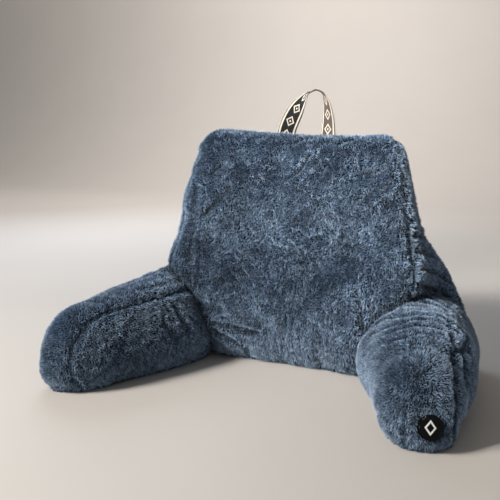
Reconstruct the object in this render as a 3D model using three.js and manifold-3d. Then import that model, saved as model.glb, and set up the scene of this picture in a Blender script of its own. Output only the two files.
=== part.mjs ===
// Reading pillow with arms: a stuffed back, two stuffed arms sewn to its flanks,
// a webbing carry handle in the top seam and a round badge on one arm's tip.
// Millimetres, +Z up. The sitter leans on the front, which faces -Y.
// Left and right are as seen from the front, so arm_right lies on +X.

import * as THREE from 'three';
import { LoftGeometry } from 'three/addons/geometries/LoftGeometry.js';
import { mergeVertices } from 'three/addons/utils/BufferGeometryUtils.js';
import Module from 'manifold-3d';

// ---------------------------------------------------------------- driving dimensions

const SEWN_GAP = 0.4;          // clear space left between two pieces that are sewn together
const SEAM_RIDGE = 4;          // how far a pinched seam stands up out of the plush
const SEAM_TROUGH = 2;         // how far the plush sinks beside a seam
const SEAM_REACH = 12;         // from a seam's line to the bottom of its trough
const CORNER_PINCH = [0, -1, 3, -1, 0]; // the same profile over the points of a rounded corner

const BACK_HEIGHT = 462;       // floor to the crown of the top edge
const BACK_TOP_RADIUS = 42;    // rounding over the top, front to rear
const BACK_FOOT_RADIUS = 24;   // rounding where the back meets the floor
const BACK_FOOT_INSET = 20;
const BACK_TOP_SAG = 6;        // the top edge dips this much midway between its corners
const BACK_TOP_TILT = 5;       // the right end of the top edge sits this much low, the left high
const BACK_REAR_BULGE = 22;    // the rear panel swells by this much at its middle, low down
const BACK_REAR_SLACK = 0.4;   // share of that swelling left at the top
const BACK_CORNER_RADIUS = 30; // rounding of the upright corners, where the gusset is sewn
const BACK_CORNER_SHARPEST = 12; // the same down among the arms
const ARM_SEWN_HEIGHTS = [60, 170]; // the corners round out between these heights
const BACK_CORNER_SHARE = 0.42; // a corner takes at most this share of the thickness there
const CORNER_PINCH_ENDS = [390, 445]; // the gusset's seams fade into the top between these heights

// Horizontal sections of the back. z: height. front, rear: where the front panel's side
// edges and the rear panel lie. frontHalf, rearHalf: half widths there. dish: how far the
// front panel is hollowed at its middle.
const BACK_ROWS = [
  { z: 0, front: -6, rear: 156, frontHalf: 160, rearHalf: 330, dish: 8 },
  { z: 50, front: -30, rear: 170, frontHalf: 162, rearHalf: 340, dish: 12 },
  { z: 100, front: -44, rear: 170, frontHalf: 180, rearHalf: 334, dish: 20 },
  { z: 145, front: -43, rear: 166, frontHalf: 217, rearHalf: 318, dish: 26 },
  { z: 190, front: -32, rear: 158, frontHalf: 260, rearHalf: 292, dish: 30 },
  { z: 235, front: -16, rear: 147, frontHalf: 256, rearHalf: 264, dish: 30 },
  { z: 290, front: -8, rear: 136, frontHalf: 246, rearHalf: 234, dish: 26 },
  { z: 345, front: -2, rear: 129, frontHalf: 235, rearHalf: 217, dish: 20 },
  { z: 400, front: 14, rear: 122, frontHalf: 225, rearHalf: 201, dish: 12 },
  { z: 465, front: 30, rear: 116, frontHalf: 208, rearHalf: 184, dish: 4 },
];

// Soft folds of the front panel. x, z: middle of the fold. angle: degrees up from +X.
// length, width: its size. depth: how far it sinks, or rises where negative.
const FRONT_FOLDS = [
  { x: -14, z: 420, angle: 58, length: 70, width: 17, depth: 6 },
  { x: 18, z: 412, angle: 62, length: 60, width: 17, depth: -5 },
  { x: 140, z: 385, angle: 24, length: 90, width: 18, depth: 5 },
  { x: 112, z: 345, angle: 30, length: 90, width: 18, depth: 4 },
  { x: -165, z: 415, angle: 22, length: 80, width: 18, depth: 4 },
  { x: -200, z: 318, angle: 20, length: 80, width: 20, depth: -6 },
  { x: -150, z: 128, angle: -18, length: 110, width: 17, depth: 6 },
  { x: -110, z: 92, angle: -14, length: 100, width: 17, depth: 5 },
  { x: 172, z: 122, angle: 76, length: 90, width: 18, depth: 6 },
  { x: 10, z: 250, angle: 84, length: 190, width: 32, depth: -5 },
  { x: -80, z: 230, angle: 80, length: 180, width: 36, depth: 5 },
];

const ARM_WIDEST_HEIGHT = 54;  // an arm bulges most at this height
const ARM_STRIP_HALF = 38;     // half width of the boxing strip over an arm's top
const ARM_NOSE_POWER = 2.3;    // squareness of an arm's tip seen from the side
const ARM_NOSE_UNDERCUT = 0.16; // the tip draws in by this share where it meets the floor
const ARM_UNDERCUT_LEAN = 60;  // degrees down the tip where that begins
const ARM_GATHER_PITCH = 30;   // spacing of the rolls behind the seam with the back
const ARM_GATHER_DEPTH = 2.4;
const ARM_GATHER_START = 10;   // the rolls are full up to this station
const ARM_GATHER_REACH = 60;   // the rolls fade out over this length
const ARM_GATHER_SLANT = 0.25; // the rolls run forward towards the outer side
const ARM_SECTION_PITCH = 9.5; // spacing of the sections along an arm
const ARM_HEADING_STEP = 5;    // an arm's heading is taken from its axis over this length

// Sections across each arm, from inside the back to the hinge line of its rounded tip.
// y: station. axis: line of the arm's crown. inner, outer: half widths on either side of
// it. foot: width on the floor as a share of those. crown: height of the top.
// power: squareness of the sides above the widest line. roll: how far the boxing strip
// is turned towards the sitter.
const ARM_RIGHT_ROWS = [
  { y: 138, axis: 256, inner: 100, outer: 46, foot: 0.86, crown: 132, power: 1.7, roll: 0 },
  { y: 104, axis: 259, inner: 110, outer: 86, foot: 0.9, crown: 158, power: 1.7, roll: -2 },
  { y: 40, axis: 266, inner: 114, outer: 96, foot: 0.9, crown: 169, power: 1.7, roll: -2 },
  { y: -20, axis: 270, inner: 114, outer: 98, foot: 0.87, crown: 168, power: 1.8, roll: -2 },
  { y: -80, axis: 284, inner: 99, outer: 93, foot: 0.8, crown: 163, power: 2, roll: -3 },
  { y: -130, axis: 296, inner: 88, outer: 83, foot: 0.75, crown: 154, power: 2.2, roll: -6 },
  { y: -185, axis: 310, inner: 76, outer: 66, foot: 0.74, crown: 137, power: 2.2, roll: -7 },
];
const ARM_RIGHT_NOSE = 92;     // reach of the tip in front of its hinge line
const ARM_LEFT_ROWS = [
  { y: 138, axis: 250, inner: 96, outer: 50, foot: 0.86, crown: 140, power: 1.6, roll: 12 },
  { y: 104, axis: 251, inner: 102, outer: 90, foot: 0.9, crown: 170, power: 1.6, roll: 20 },
  { y: 40, axis: 256, inner: 106, outer: 96, foot: 0.9, crown: 184, power: 1.6, roll: 22 },
  { y: -20, axis: 254, inner: 106, outer: 98, foot: 0.84, crown: 184, power: 1.6, roll: 24 },
  { y: -80, axis: 260, inner: 104, outer: 96, foot: 0.74, crown: 177, power: 1.7, roll: 22 },
  { y: -150, axis: 278, inner: 93, outer: 88, foot: 0.67, crown: 166, power: 1.9, roll: 16 },
  { y: -215, axis: 298, inner: 80, outer: 78, foot: 0.66, crown: 152, power: 2.1, roll: 8 },
];
const ARM_LEFT_NOSE = 110;

const HANDLE_WIDTH = 38;       // woven webbing
const HANDLE_THICKNESS = 2;
const HANDLE_STEPS = 44;
const HANDLE_GAP = 0.4;        // its sewn ends stop this far above the top of the back

// The handle's middle line and how its width turns. x, y, z: place.
// turn: degrees between the webbing's width and the X axis.
const HANDLE_ROWS = [
  { x: -41, y: 92, z: 440, turn: 6 },
  { x: -36, y: 92, z: 466, turn: 4 },
  { x: -20, y: 91, z: 498, turn: -8 },
  { x: 3, y: 90, z: 528, turn: -52 },
  { x: 24, y: 90, z: 539, turn: -84 },
  { x: 38, y: 90, z: 524, turn: -78 },
  { x: 45, y: 91, z: 497, turn: -52 },
  { x: 48, y: 92, z: 466, turn: -38 },
  { x: 49, y: 92, z: 440, turn: -34 },
];

const PATCH_RADIUS = 20;
const PATCH_THICKNESS = 1.6;
const PATCH_BEND_RADIUS = 130; // the badge follows the arm's rounded tip
const PATCH_LEAN = 61;         // degrees down the tip from straight up
const PATCH_LIFT = 0.8;        // its middle stands this far off the plush
const PATCH_SHIFT = 8;         // it sits this far to the outer side of the arm's crown
const PATCH_RINGS = 5;
const PATCH_SIDES = 32;

// ---------------------------------------------------------------- shared helpers

const TURN = Math.PI / 180;

// All columns of a table at one value of its key column, joined by a smooth curve.
function rowAt(rows, key, value) {
  const rising = rows[rows.length - 1][key] > rows[0][key] ? 1 : -1;
  let i = 0;
  while (i < rows.length - 2 && (rows[i + 1][key] - value) * rising < 0) i += 1;
  const before = rows[Math.max(i - 1, 0)];
  const start = rows[i];
  const end = rows[i + 1];
  const after = rows[Math.min(i + 2, rows.length - 1)];
  const span = end[key] - start[key];
  const share = THREE.MathUtils.clamp((value - start[key]) / span, 0, 1);
  const row = {};
  for (const column of Object.keys(start)) {
    const startSlope = (end[column] - before[column]) / (end[key] - before[key]);
    const endSlope = (after[column] - start[column]) / (after[key] - start[key]);
    const a = 2 * share ** 3 - 3 * share ** 2 + 1;
    const b = share ** 3 - 2 * share ** 2 + share;
    const c = 3 * share ** 2 - 2 * share ** 3;
    const d = share ** 3 - share ** 2;
    row[column] = a * start[column] + b * span * startSlope + c * end[column] + d * span * endSlope;
  }
  return row;
}

function bell(distance, width) {
  return Math.exp(-((distance / width) ** 2));
}

// A smooth hump, one at the middle and nothing beyond its reach.
function hump(distance, reach) {
  return Math.abs(distance) < reach ? (1 + Math.cos(Math.PI * distance / reach)) / 2 : 0;
}

// Profile across a seam: a ridge with a shallow trough on each side.
function seamLift(distance) {
  return SEAM_RIDGE * hump(distance, SEAM_REACH) - SEAM_TROUGH * hump(distance - SEAM_REACH, SEAM_REACH);
}

// ---------------------------------------------------------------- booleans

const wasm = await Module();
wasm.setup();

function toSolid(geometry) {
  const bare = new THREE.BufferGeometry();
  bare.setAttribute('position', geometry.getAttribute('position'));
  bare.setIndex(geometry.index);
  const merged = mergeVertices(bare, 1e-3);
  const corners = merged.index.array;
  const kept = [];
  for (let i = 0; i < corners.length; i += 3) {
    const [a, b, c] = [corners[i], corners[i + 1], corners[i + 2]];
    if (a !== b && b !== c && c !== a) kept.push(a, b, c);
  }
  return new wasm.Manifold(new wasm.Mesh({
    numProp: 3,
    vertProperties: new Float32Array(merged.getAttribute('position').array),
    triVerts: new Uint32Array(kept),
  }));
}

function toGeometry(solid) {
  const mesh = solid.getMesh();
  const geometry = new THREE.BufferGeometry();
  geometry.setAttribute('position', new THREE.BufferAttribute(mesh.vertProperties, 3));
  geometry.setIndex(new THREE.BufferAttribute(mesh.triVerts, 1));
  geometry.computeVertexNormals();
  return geometry;
}

// ---------------------------------------------------------------- the stuffed back

const FOLD_FADE = 4;           // how soon the folds come up to full depth from a side edge
const FRONT_STEPS = 36;
const REAR_STEPS = 18;
const FLANK_STEPS = 5;
const LEVEL_STEPS = 27;
const FOOT_ANGLES = [0, 20, 42, 66, 90];    // degrees up the rounding at the floor
const CROWN_ANGLES = [16, 32, 48, 64, 80];  // degrees up the rounding over the top

// Rounds one corner of a plan outline, pinched up by its seam, and returns its points.
function roundedCorner(corner, from, to, radius, pinch) {
  const start = corner.clone().add(from.clone().sub(corner).setLength(radius));
  const end = corner.clone().add(to.clone().sub(corner).setLength(radius));
  const points = new THREE.QuadraticBezierCurve(start, corner, end).getPoints(CORNER_PINCH.length - 1);
  const outwards = corner.clone().sub(start.add(end).divideScalar(2)).normalize();
  return points.map((point, i) => point.addScaledVector(outwards, pinch * CORNER_PINCH[i]));
}

function between(start, end, steps) {
  const points = [];
  for (let i = 1; i < steps; i += 1) points.push(start.clone().lerp(end, i / steps));
  return points;
}

// How far the soft folds push a point of the front panel inwards.
function foldDepth(x, z) {
  let depth = 0;
  for (const fold of FRONT_FOLDS) {
    const c = Math.cos(fold.angle * TURN);
    const s = Math.sin(fold.angle * TURN);
    const along = (x - fold.x) * c + (z - fold.z) * s;
    const across = (z - fold.z) * c - (x - fold.x) * s;
    depth += fold.depth * bell(across, fold.width) * bell(along, fold.length / 2);
  }
  return depth;
}

// One level section of the back, drawn in all round by inset.
function backSection(z, inset) {
  const row = rowAt(BACK_ROWS, 'z', z);
  const front = row.front + inset;
  const rear = row.rear - inset;
  const frontHalf = row.frontHalf - inset;
  const rearHalf = row.rearHalf - inset;
  const corners = [
    new THREE.Vector2(-frontHalf, front),
    new THREE.Vector2(frontHalf, front),
    new THREE.Vector2(rearHalf, rear),
    new THREE.Vector2(-rearHalf, rear),
  ];
  const free = THREE.MathUtils.smoothstep(z, ...ARM_SEWN_HEIGHTS);
  const pinch = 1 - THREE.MathUtils.smoothstep(z, ...CORNER_PINCH_ENDS);
  const wanted = THREE.MathUtils.lerp(BACK_CORNER_SHARPEST, BACK_CORNER_RADIUS, free);
  const radius = Math.min(wanted, (rear - front) * BACK_CORNER_SHARE);
  const rounded = corners.map((corner, i) =>
    roundedCorner(corner, corners[(i + 3) % 4], corners[(i + 1) % 4], radius, pinch * free));
  const steps = [FRONT_STEPS, FLANK_STEPS, REAR_STEPS, FLANK_STEPS];
  const outline = [];
  rounded.forEach((arc, i) => {
    outline.push(...arc);
    outline.push(...between(arc[arc.length - 1], rounded[(i + 1) % 4][0], steps[i]));
  });
  const lowness = 1 - z / BACK_HEIGHT;
  const crown = THREE.MathUtils.smoothstep(z, BACK_HEIGHT - 2 * BACK_TOP_RADIUS, BACK_HEIGHT);
  return outline.map((point) => {
    const depth = (point.y - front) / (rear - front);
    const half = THREE.MathUtils.lerp(frontHalf, rearHalf, depth);
    const middle = Math.max(0, 1 - (point.x / half) ** 2);
    const hollow = row.dish * middle + foldDepth(point.x, z) * Math.min(1, middle * FOLD_FADE);
    const swell = BACK_REAR_BULGE * middle * THREE.MathUtils.lerp(BACK_REAR_SLACK, 1, lowness);
    const y = point.y + hollow * (1 - depth) + swell * depth;
    const drop = BACK_TOP_SAG * middle + BACK_TOP_TILT * point.x / half;
    return new THREE.Vector3(point.x, y, z - drop * crown);
  });
}

// Moves every point of a level section outwards by the same distance.
function swollen(section, distance) {
  return section.map((point, i) => {
    const before = section[(i + section.length - 1) % section.length];
    const after = section[(i + 1) % section.length];
    const along = after.clone().sub(before).setZ(0).normalize();
    return point.clone().add(new THREE.Vector3(along.y, -along.x, 0).multiplyScalar(distance));
  });
}

// The back or, with a grow above nothing, the form that cuts its neighbours clear of it.
// That one is swollen by grow and square at the foot, so no thin tongue is left there.
function backGeometry(grow) {
  const footInset = grow > 0 ? 0 : BACK_FOOT_INSET;
  const straight = BACK_HEIGHT - BACK_TOP_RADIUS;
  const sections = [];
  for (const angle of FOOT_ANGLES) {
    const z = BACK_FOOT_RADIUS * (1 - Math.cos(angle * TURN));
    sections.push(backSection(z, footInset * (1 - Math.sin(angle * TURN))));
  }
  for (let i = 1; i <= LEVEL_STEPS; i += 1) {
    sections.push(backSection(THREE.MathUtils.lerp(BACK_FOOT_RADIUS, straight, i / LEVEL_STEPS), 0));
  }
  for (const angle of CROWN_ANGLES) {
    const z = straight + BACK_TOP_RADIUS * Math.sin(angle * TURN);
    sections.push(backSection(z, BACK_TOP_RADIUS * (1 - Math.cos(angle * TURN))));
  }
  const grown = sections.map((section) => swollen(section, grow));
  return new LoftGeometry(grown, { capStart: true, capEnd: true });
}

// ---------------------------------------------------------------- the stuffed arms

const FOOT_STEPS = 3;
const SIDE_STEPS = 7;
const STRIP_STEPS = 8;
const NOSE_STEP = 9;           // degrees between the sections round an arm's tip

// Half of a section across an arm, as (across, up) pairs from its foot to its crown.
// seam: where the boxing strip is sewn. upright: 1 for an upright section, falling to 0
// for one that lies on the floor round the tip.
function armOutline(half, seam, row, crown, upright) {
  const widest = ARM_WIDEST_HEIGHT * upright;
  const foot = half * row.foot;
  const side = foot + (half - foot) * upright;
  const seamAngle = Math.acos(seam / side);
  const angles = [];
  for (let i = 0; i < SIDE_STEPS; i += 1) angles.push(seamAngle * i / SIDE_STEPS);
  for (let i = 0; i <= STRIP_STEPS / 2; i += 1) {
    angles.push(THREE.MathUtils.lerp(seamAngle, Math.PI / 2, 2 * i / STRIP_STEPS));
  }
  const outline = [];
  for (let i = 0; i < FOOT_STEPS; i += 1) {
    const share = i / FOOT_STEPS;
    outline.push([foot + (side - foot) * (1 - (1 - share) ** 2), widest * share]);
  }
  for (const angle of angles) {
    const across = side * Math.cos(angle);
    const rise = (1 - (across / side) ** row.power) ** (1 / row.power);
    const up = widest + (crown - widest) * rise;
    const shown = Math.min(1, 2 * rise) / Math.hypot(across, up);
    const lift = seamLift(Math.abs(across - seam)) * shown;
    outline.push([across * (1 + lift), up * (1 + lift)]);
  }
  return outline;
}

function armSection(rows, y, lean, reach, side) {
  const row = rowAt(rows, 'y', y);
  const behind = rowAt(rows, 'y', y + ARM_HEADING_STEP);
  const upright = lean === 90 ? 0 : Math.cos(lean * TURN);
  const forward = new THREE.Vector3(side * (row.axis - behind.axis) / ARM_HEADING_STEP, -1, 0).normalize();
  const across = new THREE.Vector3(-side * forward.y, side * forward.x, 0);
  const up = new THREE.Vector3(0, 0, upright).addScaledVector(forward, Math.sin(lean * TURN));
  const undercut = 1 - ARM_NOSE_UNDERCUT * THREE.MathUtils.smoothstep(lean, ARM_UNDERCUT_LEAN, 90) ** 2;
  const crown = undercut * ((upright / row.crown) ** ARM_NOSE_POWER
    + (Math.sin(lean * TURN) / reach) ** ARM_NOSE_POWER) ** (-1 / ARM_NOSE_POWER);
  const outer = armOutline(row.outer, ARM_STRIP_HALF - row.roll, row, crown, upright);
  const inner = armOutline(row.inner, ARM_STRIP_HALF + row.roll, row, crown, upright);
  const outline = outer.concat(inner.slice(0, -1).reverse().map(([a, height]) => [-a, height]));
  const origin = new THREE.Vector3(side * row.axis, y, 0);
  const fade = bell(Math.max(0, ARM_GATHER_START - y), ARM_GATHER_REACH);
  const points = outline.map(([a, height]) => {
    const wave = Math.cos(2 * Math.PI * (y + ARM_GATHER_SLANT * a) / ARM_GATHER_PITCH);
    const gather = ARM_GATHER_DEPTH * wave * fade * (height / crown) ** 2;
    return origin.clone().addScaledVector(across, a).addScaledVector(up, height + gather);
  });
  return side > 0 ? points : points.reverse();
}

function armGeometry(rows, reach, side) {
  const hinge = rows[rows.length - 1].y;
  const sections = [];
  const rear = rows[0].y;
  const steps = Math.round((rear - hinge) / ARM_SECTION_PITCH);
  for (let i = 0; i <= steps; i += 1) {
    sections.push(armSection(rows, THREE.MathUtils.lerp(rear, hinge, i / steps), 0, reach, side));
  }
  for (let lean = NOSE_STEP; lean <= 90; lean += NOSE_STEP) {
    sections.push(armSection(rows, hinge, lean, reach, side));
  }
  return new LoftGeometry(sections, { capStart: true, capEnd: true });
}

const backSolid = toSolid(backGeometry(0));
const backClearance = toSolid(backGeometry(SEWN_GAP));

function makeArm(rows, reach, side) {
  return toSolid(armGeometry(rows, reach, side)).subtract(backClearance);
}

const armLeftSolid = makeArm(ARM_LEFT_ROWS, ARM_LEFT_NOSE, -1);
const armRightSolid = makeArm(ARM_RIGHT_ROWS, ARM_RIGHT_NOSE, 1);

// ---------------------------------------------------------------- webbing handle

function makeHandle() {
  const path = new THREE.CatmullRomCurve3(HANDLE_ROWS.map((row) => new THREE.Vector3(row.x, row.y, row.z)));
  const turns = new THREE.CatmullRomCurve3(HANDLE_ROWS.map((row) => new THREE.Vector3(row.turn, 0, 0)));
  const sections = [];
  for (let i = 0; i <= HANDLE_STEPS; i += 1) {
    const share = i / HANDLE_STEPS;
    const centre = path.getPoint(share);
    const turn = turns.getPoint(share).x * TURN;
    const along = path.getTangent(share);
    const flat = new THREE.Vector3(Math.cos(turn), Math.sin(turn), 0);
    const width = flat.addScaledVector(along, -flat.dot(along)).normalize();
    const thickness = along.clone().cross(width);
    const section = [];
    for (const [w, t] of [[-1, -1], [0, -1], [1, -1], [1, 1], [0, 1], [-1, 1]]) {
      section.push(centre.clone()
        .addScaledVector(width, w * HANDLE_WIDTH / 2)
        .addScaledVector(thickness, t * HANDLE_THICKNESS / 2));
    }
    sections.push(section);
  }
  const webbing = toSolid(new LoftGeometry(sections, { capStart: true, capEnd: true }));
  return webbing.subtract(toSolid(backGeometry(0).translate(0, 0, HANDLE_GAP)));
}

// ---------------------------------------------------------------- round badge

function makePatch() {
  const hinge = ARM_RIGHT_ROWS[ARM_RIGHT_ROWS.length - 1].y;
  const crownAt = (lean) => {
    const section = armSection(ARM_RIGHT_ROWS, hinge, lean, ARM_RIGHT_NOSE, 1);
    return section[(section.length - 1) / 2];
  };
  const centre = crownAt(PATCH_LEAN).add(new THREE.Vector3(PATCH_SHIFT, 0, 0));
  const down = crownAt(PATCH_LEAN + 1).sub(crownAt(PATCH_LEAN - 1)).normalize();
  const outwards = new THREE.Vector3(0, 0, 1).addScaledVector(down, -down.z).normalize();
  const rim = [];
  for (let i = 0; i <= PATCH_RINGS; i += 1) {
    const r = PATCH_RADIUS * i / PATCH_RINGS;
    rim.push(new THREE.Vector2(r, -(r ** 2) / (2 * PATCH_BEND_RADIUS)));
  }
  const top = rim.map((point) => new THREE.Vector2(point.x, point.y + PATCH_THICKNESS)).reverse();
  const disc = new THREE.LatheGeometry(rim.concat(top), PATCH_SIDES);
  disc.applyQuaternion(new THREE.Quaternion().setFromUnitVectors(new THREE.Vector3(0, 1, 0), outwards));
  disc.translate(...centre.clone().addScaledVector(outwards, PATCH_LIFT).toArray());
  const arm = armGeometry(ARM_RIGHT_ROWS, ARM_RIGHT_NOSE, 1);
  arm.translate(...outwards.clone().multiplyScalar(SEWN_GAP).toArray());
  return toSolid(disc).subtract(toSolid(arm));
}

// ---------------------------------------------------------------- the parts

const pillow = new THREE.Group();

function addPart(name, solid, color, roughness) {
  const material = new THREE.MeshStandardMaterial({ color, roughness, metalness: 0 });
  const mesh = new THREE.Mesh(toGeometry(solid), material);
  mesh.name = name;
  pillow.add(mesh);
  return mesh;
}

addPart('backrest', backSolid, 0x4b5f78, 0.95);
addPart('arm_left', armLeftSolid, 0x4b5f78, 0.95);
addPart('arm_right', armRightSolid, 0x4b5f78, 0.95);
addPart('carry_handle', makeHandle(), 0x15161a, 0.8);
addPart('round_patch', makePatch(), 0x121317, 0.6);

// The origin lies under the middle of the pillow's outline, on the floor.
const outline = new THREE.Box3().setFromObject(pillow);
const middle = outline.getCenter(new THREE.Vector3());
pillow.position.set(-middle.x, -middle.y, -outline.min.z);

export default pillow;
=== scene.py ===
# Reading pillow with arms: a stuffed back and two stuffed arms in slate-blue plush,
# a woven carry handle sewn into the top seam and a round badge on one arm's tip.
# Metres, +Z up. The sitter leans on the front, which faces -Y.

import math

import bmesh
import bpy
import numpy as np
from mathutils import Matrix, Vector
from mathutils.bvhtree import BVHTree
from mathutils.kdtree import KDTree


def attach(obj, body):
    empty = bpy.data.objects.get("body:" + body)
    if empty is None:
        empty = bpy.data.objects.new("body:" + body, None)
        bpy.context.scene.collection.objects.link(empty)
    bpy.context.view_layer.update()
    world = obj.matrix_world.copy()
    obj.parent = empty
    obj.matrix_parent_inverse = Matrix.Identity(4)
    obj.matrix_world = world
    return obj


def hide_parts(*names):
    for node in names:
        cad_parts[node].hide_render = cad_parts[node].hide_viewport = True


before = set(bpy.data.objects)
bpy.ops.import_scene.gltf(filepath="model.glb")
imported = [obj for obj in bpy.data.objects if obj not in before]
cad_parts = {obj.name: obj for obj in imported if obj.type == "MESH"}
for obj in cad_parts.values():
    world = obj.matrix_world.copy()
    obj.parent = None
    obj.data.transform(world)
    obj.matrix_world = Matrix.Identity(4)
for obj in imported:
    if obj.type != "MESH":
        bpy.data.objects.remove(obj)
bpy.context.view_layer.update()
scene = bpy.context.scene
MM = 0.001


# ------------------------------------------------------------------ the view
# A viewer's camera with a normal lens, a little above the pillow and to its right,
# looking slightly down.

VIEW_PLACE = (0.5122, -1.1651, 0.4725)
VIEW_DOWN = 10.12           # degrees below level
VIEW_ROUND = 25.58          # degrees round towards the pillow's right

camera_data = bpy.data.cameras.new("view_camera")
camera_data.lens = 50.4
camera_data.sensor_width = 36
camera = bpy.data.objects.new("view_camera", camera_data)
camera.location = VIEW_PLACE
camera.rotation_euler = (math.radians(90 - VIEW_DOWN), 0, math.radians(VIEW_ROUND))
scene.collection.objects.link(camera)
scene.camera = camera


# ------------------------------------------------------------------ the floor and its light
# A seamless sweep of painted board in a pale room, lit by four soft boxes: the key from
# the upper left, a narrow one on the back's upper part, one from behind for the pile's
# rim and one that lightens the wall.

SWEEP_HALF_WIDTH = 6.0
SWEEP_FRONT = -4.0
SWEEP_BACK = 3.0
SWEEP_RADIUS = 1.6
SWEEP_STEPS = 12            # faces round its curve
SWEEP_HEIGHT = 5.0
ROOM_LIGHT = 0.22           # strength of the light that comes from all sides


def linear(hex_colour):
    """An sRGB hex colour as linear RGBA."""
    parts = [int(hex_colour[i : i + 2], 16) / 255 for i in (1, 3, 5)]
    return [c / 12.92 if c <= 0.04045 else ((c + 0.055) / 1.055) ** 2.4 for c in parts] + [1.0]


def add_node(tree, kind, inputs=None, **settings):
    """Adds a node. An input takes a value, a socket's link or the link of a node's first output."""
    node = tree.nodes.new(kind)
    for key, value in settings.items():
        setattr(node, key, value)
    for key, value in (inputs or {}).items():
        source = value.outputs[0] if isinstance(value, bpy.types.Node) else value
        if isinstance(source, bpy.types.NodeSocket):
            tree.links.new(source, node.inputs[key])
        else:
            node.inputs[key].default_value = source
    return node


def new_material(name):
    """A node material with an empty tree, and the tree."""
    material = bpy.data.materials.new(name)
    material.use_nodes = True
    material.node_tree.nodes.clear()
    return material, material.node_tree


def give_finish(tree, finish):
    """Ends a material's tree with a shader of this finish."""
    shader = add_node(tree, "ShaderNodeBsdfPrincipled", finish)
    add_node(tree, "ShaderNodeOutputMaterial", {"Surface": shader})


# Painted board, rolled on: matt, with only a trace of grain in patches of some 30 cm.
board_paint, tree = new_material("matt_painted_board")
board_place = add_node(tree, "ShaderNodeTexCoord")
board_grain = add_node(tree, "ShaderNodeTexNoise", {
    "Vector": board_place.outputs["Object"], "Scale": 3.0, "Detail": 2.0})
board_tone = add_node(tree, "ShaderNodeMix", {
    "Factor": board_grain.outputs["Fac"], "A": linear("#d5d1cc"), "B": linear("#dad6d1"),
}, data_type="RGBA")
give_finish(tree, {"Base Color": board_tone.outputs["Result"], "Roughness": 0.8})

sweep_line = [(SWEEP_FRONT, 0.0), (SWEEP_BACK, 0.0)]
for step in range(1, SWEEP_STEPS + 1):
    turn = math.pi / 2 * step / SWEEP_STEPS
    sweep_line.append((SWEEP_BACK + SWEEP_RADIUS * math.sin(turn), SWEEP_RADIUS * (1 - math.cos(turn))))
sweep_line.append((SWEEP_BACK + SWEEP_RADIUS, SWEEP_HEIGHT))
sweep_points = [(x, y, z) for y, z in sweep_line for x in (-SWEEP_HALF_WIDTH, SWEEP_HALF_WIDTH)]
sweep_faces = [(2 * i, 2 * i + 1, 2 * i + 3, 2 * i + 2) for i in range(len(sweep_line) - 1)]
floor_mesh = bpy.data.meshes.new("floor_sweep")
floor_mesh.from_pydata(sweep_points, [], sweep_faces)
floor_mesh.shade_smooth()
floor_mesh.materials.append(board_paint)
floor = bpy.data.objects.new("floor_sweep", floor_mesh)
scene.collection.objects.link(floor)

# name, place, aim, width in metres, spread in degrees, watts, colour
LIGHTS = [
    ("key_box", (-1.35, -1.75, 1.6), (0, 0, 0.25), 0.7, 180, 68, "#fff8f0"),
    ("panel_box", (-1.2, -1.9, 1.7), (0.15, 0.12, 0.43), 0.4, 24, 1.8, "#fff8f0"),
    ("rim_box", (-1.6, 1.3, 1.5), (0, 0, 0.25), 1.2, 180, 18, "#e4efff"),
    ("wall_box", (-1.2, 1.9, 2.7), (-2.2, 4.6, 0.9), 1.2, 180, 75, "#fff9f5"),
]
for name, place, aim, width, spread, watts, colour in LIGHTS:
    lamp = bpy.data.lights.new(name, "AREA")
    lamp.size = width
    lamp.spread = math.radians(spread)
    lamp.energy = watts
    lamp.color = linear(colour)[:3]
    lamp_object = bpy.data.objects.new(name, lamp)
    lamp_object.location = place
    lamp_object.rotation_euler = (Vector(aim) - Vector(place)).to_track_quat("-Z", "Y").to_euler()
    scene.collection.objects.link(lamp_object)

world = bpy.data.worlds.new("pale_room")
world.use_nodes = True
world.node_tree.nodes["Background"].inputs["Color"].default_value = linear("#e8e6e4")
world.node_tree.nodes["Background"].inputs["Strength"].default_value = ROOM_LIGHT
scene.world = world
scene.view_settings.view_transform = "Standard"


# ------------------------------------------------------------------ the stuffed back
# A cover of slate-blue plush filled with shredded foam: a dished front panel, a bulging
# rear panel and a tapering gusset between them, joined by pinched seams.

BACK_PILE_LENGTH = 7.5 * MM
TIPS_PAST = 1 * MM          # a lock standing upright would end this far past the solid's face
MERGE_WITHIN = 0.01 * MM    # points of a CAD mesh closer than this are one
SKIN_MESH = 5 * MM          # edge length of the remeshed skins
SKIN_SMOOTHING = 5          # rounds of smoothing after that
SKIN_LOWEST = 0.4 * MM      # no point of a skin lies lower
FLOOR_BAND = 3 * MM         # what lies this low rests on the floor and stays there
SEWN_SUNK = 1 * MM          # a skin is let in only this far where it is sewn to its neighbour
SEWN_REACH = 5 * MM         # faces that look at each other across less than this are sewn
SEWN_OVERLAP = 0.5 * MM     # and so are those that lie this far inside each other
SEWN_DEPTH = 7 * MM         # a seam's mouth is this deep
SEWN_SHUT = 0.99            # share of that depth past which no pile grows
SWELL_START = 0.8 * MM      # a skin is let in by this much more before it is blown up
SWELL_FRAMES = 20           # it is blown up for this many frames
SWELL_CAP = 5 * MM          # and may swell by this much

# The knitted ground that the pile grows from, in loops of 2.4 mm: dark, since little light
# gets down to it.
plush_ground, tree = new_material("knitted_polyester_ground")
ground_place = add_node(tree, "ShaderNodeTexCoord")
knit = add_node(tree, "ShaderNodeTexNoise", {
    "Vector": ground_place.outputs["Object"], "Scale": 420.0, "Detail": 3.0})
knit_tone = add_node(tree, "ShaderNodeMix", {
    "Factor": knit.outputs["Fac"], "A": linear("#18202c"), "B": linear("#33435a"),
}, data_type="RGBA")
knit_relief = add_node(tree, "ShaderNodeBump", {
    "Height": knit.outputs["Fac"], "Strength": 0.4, "Distance": 0.6 * MM})
give_finish(tree, {"Base Color": knit_tone.outputs["Result"], "Normal": knit_relief,
                   "Roughness": 0.95, "Specular IOR Level": 0.2})


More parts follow.
